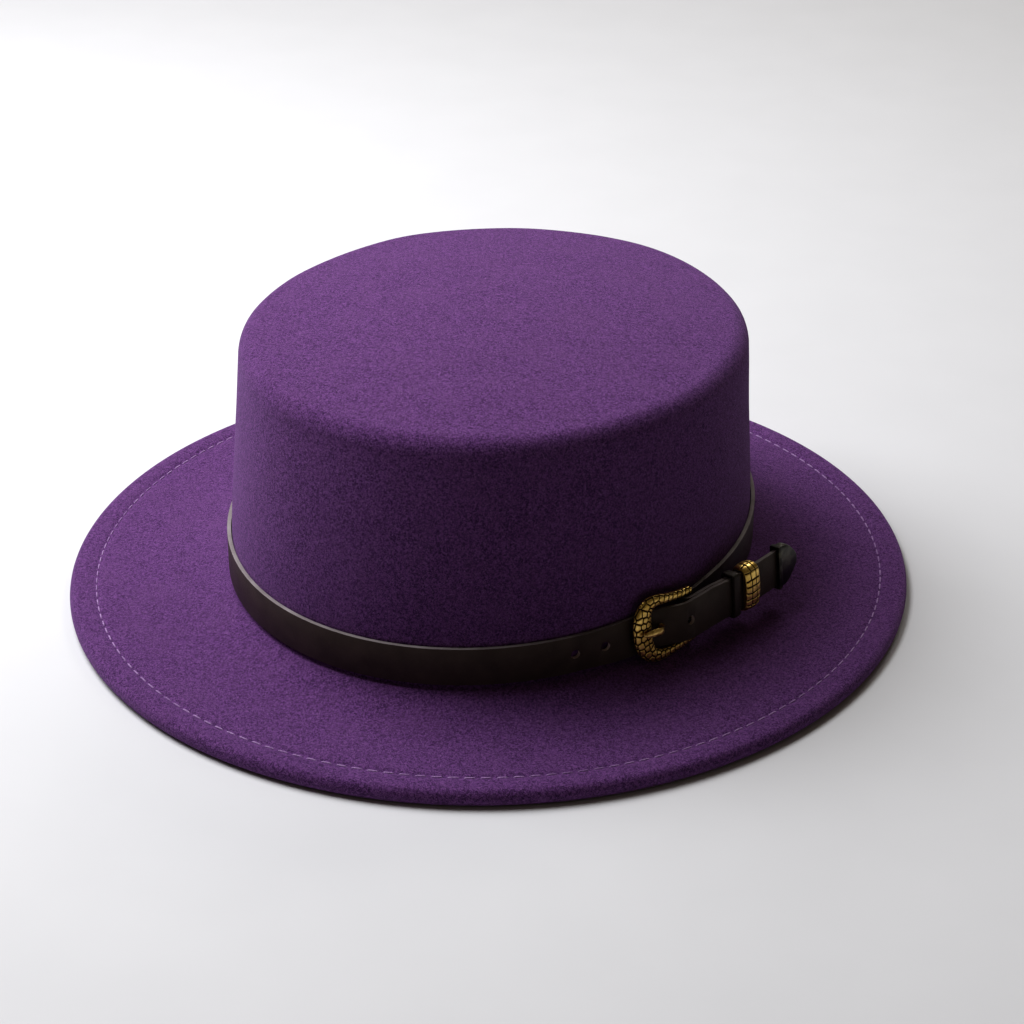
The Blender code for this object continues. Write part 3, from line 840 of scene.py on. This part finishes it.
FRAME_SECTIONS = [
    # along share, flare share, height share, width share
    (-0.06, 0.00, 1.00, 0.00),
    (0.06, 0.08, 1.00, 0.02),
    (0.19, 0.25, 1.00, 0.03),
    (0.32, 0.45, 1.00, 0.05),
    (0.45, 0.68, 1.00, 0.10),
    (0.58, 0.88, 1.00, 0.17),
    (0.71, 1.00, 0.99, 0.28),
    (0.83, 1.00, 0.92, 0.48),
    (0.92, 1.00, 0.76, 0.72),
    (0.98, 1.00, 0.50, 0.92),
    (1.00, 1.00, 0.17, 1.00),
]


def smooth_path(points, pieces):
    """A curve through the points, each stretch cut into a number of pieces."""
    points = [np.array(point, float) for point in points]
    padded = [2 * points[0] - points[1], *points, 2 * points[-1] - points[-2]]
    path = []
    for a, b, c, d in zip(padded, padded[1:], padded[2:], padded[3:]):
        for step in range(pieces):
            t = step / pieces
            path.append(0.5 * (
                2 * b + (c - a) * t + (2 * a - 5 * b + 4 * c - d) * t * t
                + (3 * b - a - 3 * c + d) * t ** 3))
    path.append(points[-1])
    return path


def frame_stations():
    """Centre line of the C in the frame's plane, with the width of each section."""
    half_at_bar = belt_half + gap + arm_width / 2
    half_at_end = (frame_height - arm_width) / 2
    stations = []
    for side, sections in ((1, FRAME_SECTIONS), (-1, FRAME_SECTIONS[::-1])):
        for along, flare, height, width in sections:
            half = half_at_bar + (half_at_end - half_at_bar) * flare
            stations.append((
                -(frame_length - frame_end_width / 2) * along,
                side * half * height + frame_raise * along * along,
                arm_width + (frame_end_width - arm_width) * width,
            ))
    return smooth_path(stations, 2)


def on_frame(out, along, height):
    """Point of the frame, which is curved like the crown behind it."""
    return belt_point(along, frame_plane + out, height, buckle_lean)


def frame_across(stations, i):
    """Direction across the C at a station, in the frame's plane."""
    before = stations[max(i - 1, 0)]
    after = stations[min(i + 1, len(stations) - 1)]
    run = Vector((after[0] - before[0], after[1] - before[1])).normalized()
    return Vector((-run.y, run.x))


def frame_rings(sides):
    stations = frame_stations()
    rings = []
    for i, (along, height, width) in enumerate(stations):
        across = frame_across(stations, i)
        ring = []
        for step in range(sides):
            turn = 2 * math.pi * (step + 0.5) / sides
            wide = math.copysign(abs(math.cos(turn)) ** 0.75, math.cos(turn)) * width * 0.49
            deep = math.copysign(abs(math.sin(turn)) ** 0.85, math.sin(turn)) * frame_thickness / 2
            ring.append(on_frame(deep, along + across.x * wide, height + across.y * wide))
        rings.append(ring)
    return rings


def frame_scales():
    """Middles of the cast scales: rows across the face, and one row along each side."""
    stations = frame_stations()
    random = np.random.default_rng(11)
    middles = []
    travelled = 0.0
    row = 0
    for i in range(1, len(stations)):
        (x0, z0, _), (x1, z1, width) = stations[i - 1], stations[i]
        step = math.hypot(x1 - x0, z1 - z0)
        across = frame_across(stations, i)
        while travelled < step:
            share = travelled / step
            along, height = x0 + (x1 - x0) * share, z0 + (z1 - z0) * share
            columns = max(1, round(width / scale_pitch - 0.3))
            shift = 0.16 * (-1) ** row if columns > 1 else 0.0
            for column in range(columns):
                wide = (column - (columns - 1) / 2 + shift) * width * 0.84 / columns
                a, b = random.uniform(-0.13, 0.13, 2) * scale_pitch
                middles.append(on_frame(
                    frame_thickness * 0.5, along + across.x * wide + a, height + across.y * wide + b))
            for side in (-1, 1):
                wide = side * width * 0.60
                slip = 0.35 * scale_pitch
                a, b = random.uniform(-0.13, 0.13, 2) * scale_pitch
                middles.append(on_frame(
                    0.0, along + across.x * wide - across.y * slip + a, height + across.y * wide + across.x * slip + b))
            row += 1
            travelled += scale_pitch * 0.92
        travelled -= step
    return middles


def cast_scales(piece, middles, plain):
    """Sinks grooves into the skin between scales, each the area nearest to one middle."""
    tree = kdtree.KDTree(len(middles))
    for number, middle in enumerate(middles):
        tree.insert(middle, number)
    tree.balance()
    heights = []
    for vertex in piece.data.vertices:
        (first, _, near), (second, _, far) = tree.find_n(vertex.co, 2)
        border = (far * far - near * near) / (2 * max((second - first).length, 0.01 * MM))
        heights.append(max(smooth_share(border / relief_groove), plain(vertex)))
    group = piece.vertex_groups.new(name="scales")
    for index, height in enumerate(heights):
        group.add([index], height, "REPLACE")
    give_modifier(
        piece, "DISPLACE", strength=-relief_depth, mid_level=0.0, direction="NORMAL",
        vertex_group="scales", invert_vertex_group=True)
    piece.vertex_groups.clear()
    shown = piece.data.attributes.new("scale_height", "FLOAT", "POINT")
    shown.data.foreach_set("value", heights)


def outward_at(place):
    """Direction away from the crown's wall at a place on the belt."""
    away = Vector((place.x / crown_half_x ** 2, (place.y - brim_lead) / crown_half_y ** 2, 0))
    return away.normalized()


def back_of(piece_normal, place):
    """1 on faces towards the crown, where the casting is plain, and 0 elsewhere."""
    return smooth_share((-piece_normal.dot(outward_at(place)) - 0.25) / 0.3)


def build_frame(brass):
    buckle = add_sweep("buckle_frame_cast", frame_rings(16), capped=True)
    give_modifier(buckle, "REMESH", mode="VOXEL", voxel_size=0.17 * MM)
    give_modifier(buckle, "SMOOTH", factor=0.5, iterations=4)
    cast_scales(buckle, frame_scales(), lambda vertex: back_of(vertex.normal, vertex.co))
    bpy.ops.object.select_all(action="DESELECT")
    bpy.ops.mesh.primitive_cylinder_add(
        vertices=20, radius=bar_radius, depth=belt_width + 2 * gap + 0.4 * arm_width)
    bar = start_piece("bar")
    set_in_place(bar, placed(0, frame_plane, 0, buckle_lean))
    pick_only(buckle)
    bar.select_set(True)
    bpy.ops.object.join()
    smooth_faces(buckle, 75)
    finish_piece(buckle, [brass], "buckle_frame")
    return buckle


# Tongue

def tube_rings(points, radii, spreads, sides):
    """Rings round a path, each spread up and down the belt by its own share."""
    points = [Vector(point) for point in points]
    side = Vector((0, 0, 1))
    rings = []
    for i, point in enumerate(points):
        run = points[min(i + 1, len(points) - 1)] - points[max(i - 1, 0)]
        run.normalize()
        side = (side - run * side.dot(run)).normalized()
        other = run.cross(side)
        rings.append([
            point + (side * math.cos(turn) * spreads[i] + other * math.sin(turn)) * radii[i]
            for turn in np.linspace(0, 2 * math.pi, sides, endpoint=False)
        ])
    return rings


def tongue_route():
    """Middle of the wire: round the bar, under the strap, out at the hole, onto the frame."""
    turn_radius = bar_radius + gap + tongue_wire / 2
    route = []
    for angle in range(150, -91, -24):
        turn = math.radians(angle)
        route.append(on_frame(turn_radius * math.sin(turn), turn_radius * math.cos(turn), 0))
    under = frame_plane - turn_radius
    through = outer_offset(-tongue_hole_from_bar)
    hole = tongue_hole_from_bar
    for along, rise in ((0.25, 0.0), (0.55, 0.0), (0.80, 0.12), (0.92, 0.48), (1.00, 1.0)):
        route.append(belt_point(-along * hole, under + rise * (through - under), 0, buckle_lean))
    over = frame_thickness / 2 + relief_depth + gap + tongue_wire / 2
    step = frame_length - frame_end_width - hole
    for along, rise in ((0.28, 0.55), (0.62, 0.95), (1.1, 1.0)):
        route.append(on_frame(over * rise, -hole - step * along, tongue_raise * along / 1.6))
    route.append(on_frame(over, -frame_length + 0.30 * frame_end_width, tongue_raise))
    return route


def build_tongue(brass):
    path = smooth_path(tongue_route(), 3)
    last = len(path) - 1
    radii, spreads = [], []
    for i in range(len(path)):
        left = (last - i) / last
        tip = math.sqrt(max(1 - max(1 - left / 0.05, 0) ** 2, 0.05))
        radii.append(tongue_wire / 2 * tip)
        spreads.append(1 + (tongue_spread - 1) * smooth_share((0.34 - left) / 0.22))
    tongue = add_sweep("buckle_tongue_wire", tube_rings(path, radii, spreads, 14), capped=True)
    smooth_faces(tongue, 50)
    finish_piece(tongue, [brass], "buckle_tongue")
    return tongue


# Keepers round the return and the free end

def bundle_offset(distance):
    """Middle of the two layers that the keepers hold."""
    return outer_offset(distance) - (belt_thickness + gap) / 2


def keeper_place(distance):
    return placed(distance, bundle_offset(distance), 0, outer_lean(distance), path=bundle_offset)


def rounded_outline(half_x, half_z, radius, steps):
    """Points of a rectangle with round corners, counterclockwise."""
    points = []
    for corner, (sx, sz) in enumerate(((1, 1), (-1, 1), (-1, -1), (1, -1))):
        for step in range(steps + 1):
            turn = math.radians(90 * corner + 90 * step / steps)
            points.append((
                sx * (half_x - radius) + radius * math.cos(turn),
                sz * (half_z - radius) + radius * math.sin(turn),
            ))
    return points


def build_leather_keeper(leather):
    half_x = bundle_depth / 2 + gap + leather_keeper_wall
    half_z = belt_half + gap + leather_keeper_wall
    place = keeper_place(leather_keeper_from_bar)
    rings = []
    for share, shrink in ((-1.0, 0.30), (-0.88, 0.06), (-0.5, 0.0), (0.5, 0.0), (0.88, 0.06), (1.0, 0.30)):
        inset = shrink * leather_keeper_wall
        rings.append([
            place @ Vector((x, share * leather_keeper_width / 2, z))
            for x, z in rounded_outline(half_x - inset, half_z - inset, 1.1 * leather_keeper_wall, 6)
        ])
    keeper = add_sweep("leather_keeper_loop", rings, capped=True)
    way = add_block(
        "way", bundle_depth + 2 * gap, leather_keeper_width * 1.5, belt_width + 2 * gap, place)
    cut_away(keeper, way)
    give_modifier(keeper, "BEVEL", width=0.15 * MM, segments=2, limit_method="ANGLE",
                  angle_limit=math.radians(60))
    smooth_faces(keeper, 45)
    finish_piece(keeper, [leather], "leather_keeper")
    return keeper


def build_brass_keeper(brass):
    half_x = bundle_depth / 2 + gap + brass_keeper_wall
    half_z = belt_half + gap + brass_keeper_wall
    place = keeper_place(brass_keeper_from_bar)
    outline = rounded_outline(half_x, half_z, brass_keeper_round, 8)
    full = []
    for here, after in zip(outline, outline[1:] + outline[:1]):
        pieces = max(1, round(math.dist(here, after) / (1.1 * MM)))
        for cut in range(pieces):
            share = cut / pieces
            full.append((here[0] + (after[0] - here[0]) * share, here[1] + (after[1] - here[1]) * share))

    def on_keeper(x, y, z, proud=0.0):
        share = 2 * y / brass_keeper_width
        bulge = brass_keeper_bulge * (1 - share * share) + proud
        grow = bulge * x / half_x
        if x > 0:
            grow += brass_keeper_dome * (1 - (z / half_z) ** 2) * x / half_x
        return place @ Vector((x + grow, y, z + bulge * z / half_z))

    rings = []
    for share in (-1.0, -0.93, -0.8, -0.5, -0.2, 0.2, 0.5, 0.8, 0.93, 1.0):
        drop = -relief_depth * max(abs(share) - 0.8, 0) / 0.2
        rings.append([on_keeper(x, share * brass_keeper_width / 2, z, drop) for x, z in full])
    keeper = add_sweep("brass_keeper_cast", rings, capped=True)
    way = add_block(
        "way", bundle_depth + 2 * gap, brass_keeper_width * 1.5, belt_width + 2 * gap, place)
    cut_away(keeper, way)
    give_modifier(keeper, "REMESH", mode="VOXEL", voxel_size=0.17 * MM)
    give_modifier(keeper, "SMOOTH", factor=0.5, iterations=3)
    random = np.random.default_rng(5)
    middles = []
    travelled = 0.0
    for row, (here, after) in enumerate(zip(full, full[1:] + full[:1])):
        travelled += math.dist(here, after)
        if travelled < scale_pitch:
            continue
        travelled -= scale_pitch
        for column in (-1, 0, 1):
            a, b = random.uniform(-0.12, 0.12, 2) * scale_pitch
            middles.append(on_keeper(after[0] + a, column * brass_keeper_width * 0.33 + b, after[1]))
    inverse = place.inverted()

    def plain(vertex):
        inside = inverse @ vertex.co
        normal = inverse.to_3x3() @ vertex.normal
        inner = abs(inside.x) < bundle_depth / 2 + 1.5 * gap and abs(inside.z) < belt_half + 1.5 * gap
        end = smooth_share((abs(normal.y) - 0.5) / 0.3)
        return max(float(inner), end, smooth_share((-normal.x - 0.25) / 0.3))

    cast_scales(keeper, middles, plain)
    smooth_faces(keeper, 75)
    finish_piece(keeper, [brass], "brass_keeper")
    return keeper


# Metal cap on the strap's free end

def tip_outline():
    half_z = belt_half + gap + tip_wall
    side = [
        (0.0, 1.0), (0.25, 1.0), (tip_straight / tip_length, 0.99), (0.50, 0.92),
        (0.64, 0.78), (0.78, 0.58), (0.90, 0.38), (0.97, 0.24), (1.0, 0.10),
    ]
    points = [(tip_length * along, half_z * height) for along, height in side]
    return points + [(along, -height) for along, height in reversed(points)]


def build_tip(metal):
    half_z = belt_half + gap + tip_wall
    depth = belt_thickness + 2 * gap + 2 * tip_wall
    distance = free_end_length - tip_pocket
    place = placed(distance, outer_offset(distance), 0, outer_lean(distance), path=outer_offset)
    middle = tip_length * 0.4
    rings = []
    for out, shrink in ((-0.5, 0.08), (-0.42, 0.0), (0.30, 0.0), (0.44, 0.03), (0.5, 0.09)):
        rings.append([
            place @ Vector((
                out * depth,
                along if along < 0.01 * MM else middle + (along - middle) * (1 - shrink),
                height * (1 - shrink),
            ))
            for along, height in tip_outline()
        ])
    tip = add_sweep("strap_tip_cap", rings, capped=True)
    collar = add_block(
        "collar", depth + 2 * tip_collar_proud, tip_collar_width, 2 * (half_z + tip_collar_proud),
        place @ Matrix.Translation((0, tip_collar_width / 2 - gap, 0)))
    give_modifier(collar, "BEVEL", width=0.7 * tip_collar_proud, segments=3)
    cut_away(tip, collar, "UNION")
    mouth = belt_point(distance, outer_offset(distance), 0, outer_lean(distance))
    strap_end = belt_point(free_end_length, outer_offset(free_end_length), 0, free_end_lean)
    pocket = add_block(
        "pocket", belt_thickness + 2 * gap, 2 * ((strap_end - mouth).length + gap),
        belt_width + 2 * gap, place)
    cut_away(tip, pocket)
    give_modifier(tip, "BEVEL", width=0.14 * MM, segments=3, limit_method="ANGLE",
                  angle_limit=math.radians(35))
    smooth_faces(tip, 40)
    finish_piece(tip, [metal], "strap_tip")
    return tip


# Scene

def add_floor():
    bpy.ops.object.select_all(action="DESELECT")
    bpy.ops.mesh.primitive_plane_add(size=12, location=(0, 0, -0.0002))
    floor = start_piece("floor")
    bpy.ops.object.transform_apply(location=True, rotation=True, scale=True)
    floor.data.materials.append(pale_floor())


def add_soft_light(name, place, aim, size, power, colour):
    bpy.ops.object.light_add(type="AREA", location=place)
    light = bpy.context.object
    light.name = name
    light.data.shape = "RECTANGLE"
    light.data.size, light.data.size_y = size
    light.data.energy = power
    light.data.color = colour
    light.rotation_euler = (Vector(aim) - Vector(place)).to_track_quat("-Z", "Y").to_euler()


def add_studio():
    scene = bpy.context.scene
    scene.view_settings.view_transform = "Standard"
    scene.view_settings.look = "Medium High Contrast"
    scene.view_settings.exposure = 0.10
    world = bpy.data.worlds.new("studio")
    scene.world = world
    world.use_nodes = True
    backdrop = world.node_tree.nodes["Background"]
    backdrop.inputs["Color"].default_value = (1.0, 0.84, 0.62, 1)
    backdrop.inputs["Strength"].default_value = 0.07
    add_soft_light("window", (-0.50, 0.04, 0.76), (0, 0, 0.05), (0.60, 0.80), 11.0, (0.96, 0.96, 1.0))
    add_soft_light("back_panel", (-0.95, 1.05, 0.58), (0, 0, 0.08), (1.20, 0.70), 2.6, (0.98, 0.97, 1.0))
    add_soft_light("back_window", (0.10, 1.10, 1.00), (0.08, 0, 0.02), (0.50, 0.35), 3.2, (1.0, 0.97, 0.93))


def main():
    add_camera()
    build_felt()
    build_stitches()
    build_belt()
    brass = antique_brass()
    build_frame(brass)
    build_tongue(polished_brass())
    build_leather_keeper(strap_leather("keeper leather", (0.010, 0.007, 0.006), (0.020, 0.013, 0.011), 0.45))
    build_brass_keeper(brass)
    build_tip(black_metal())
    add_floor()
    add_studio()


main()
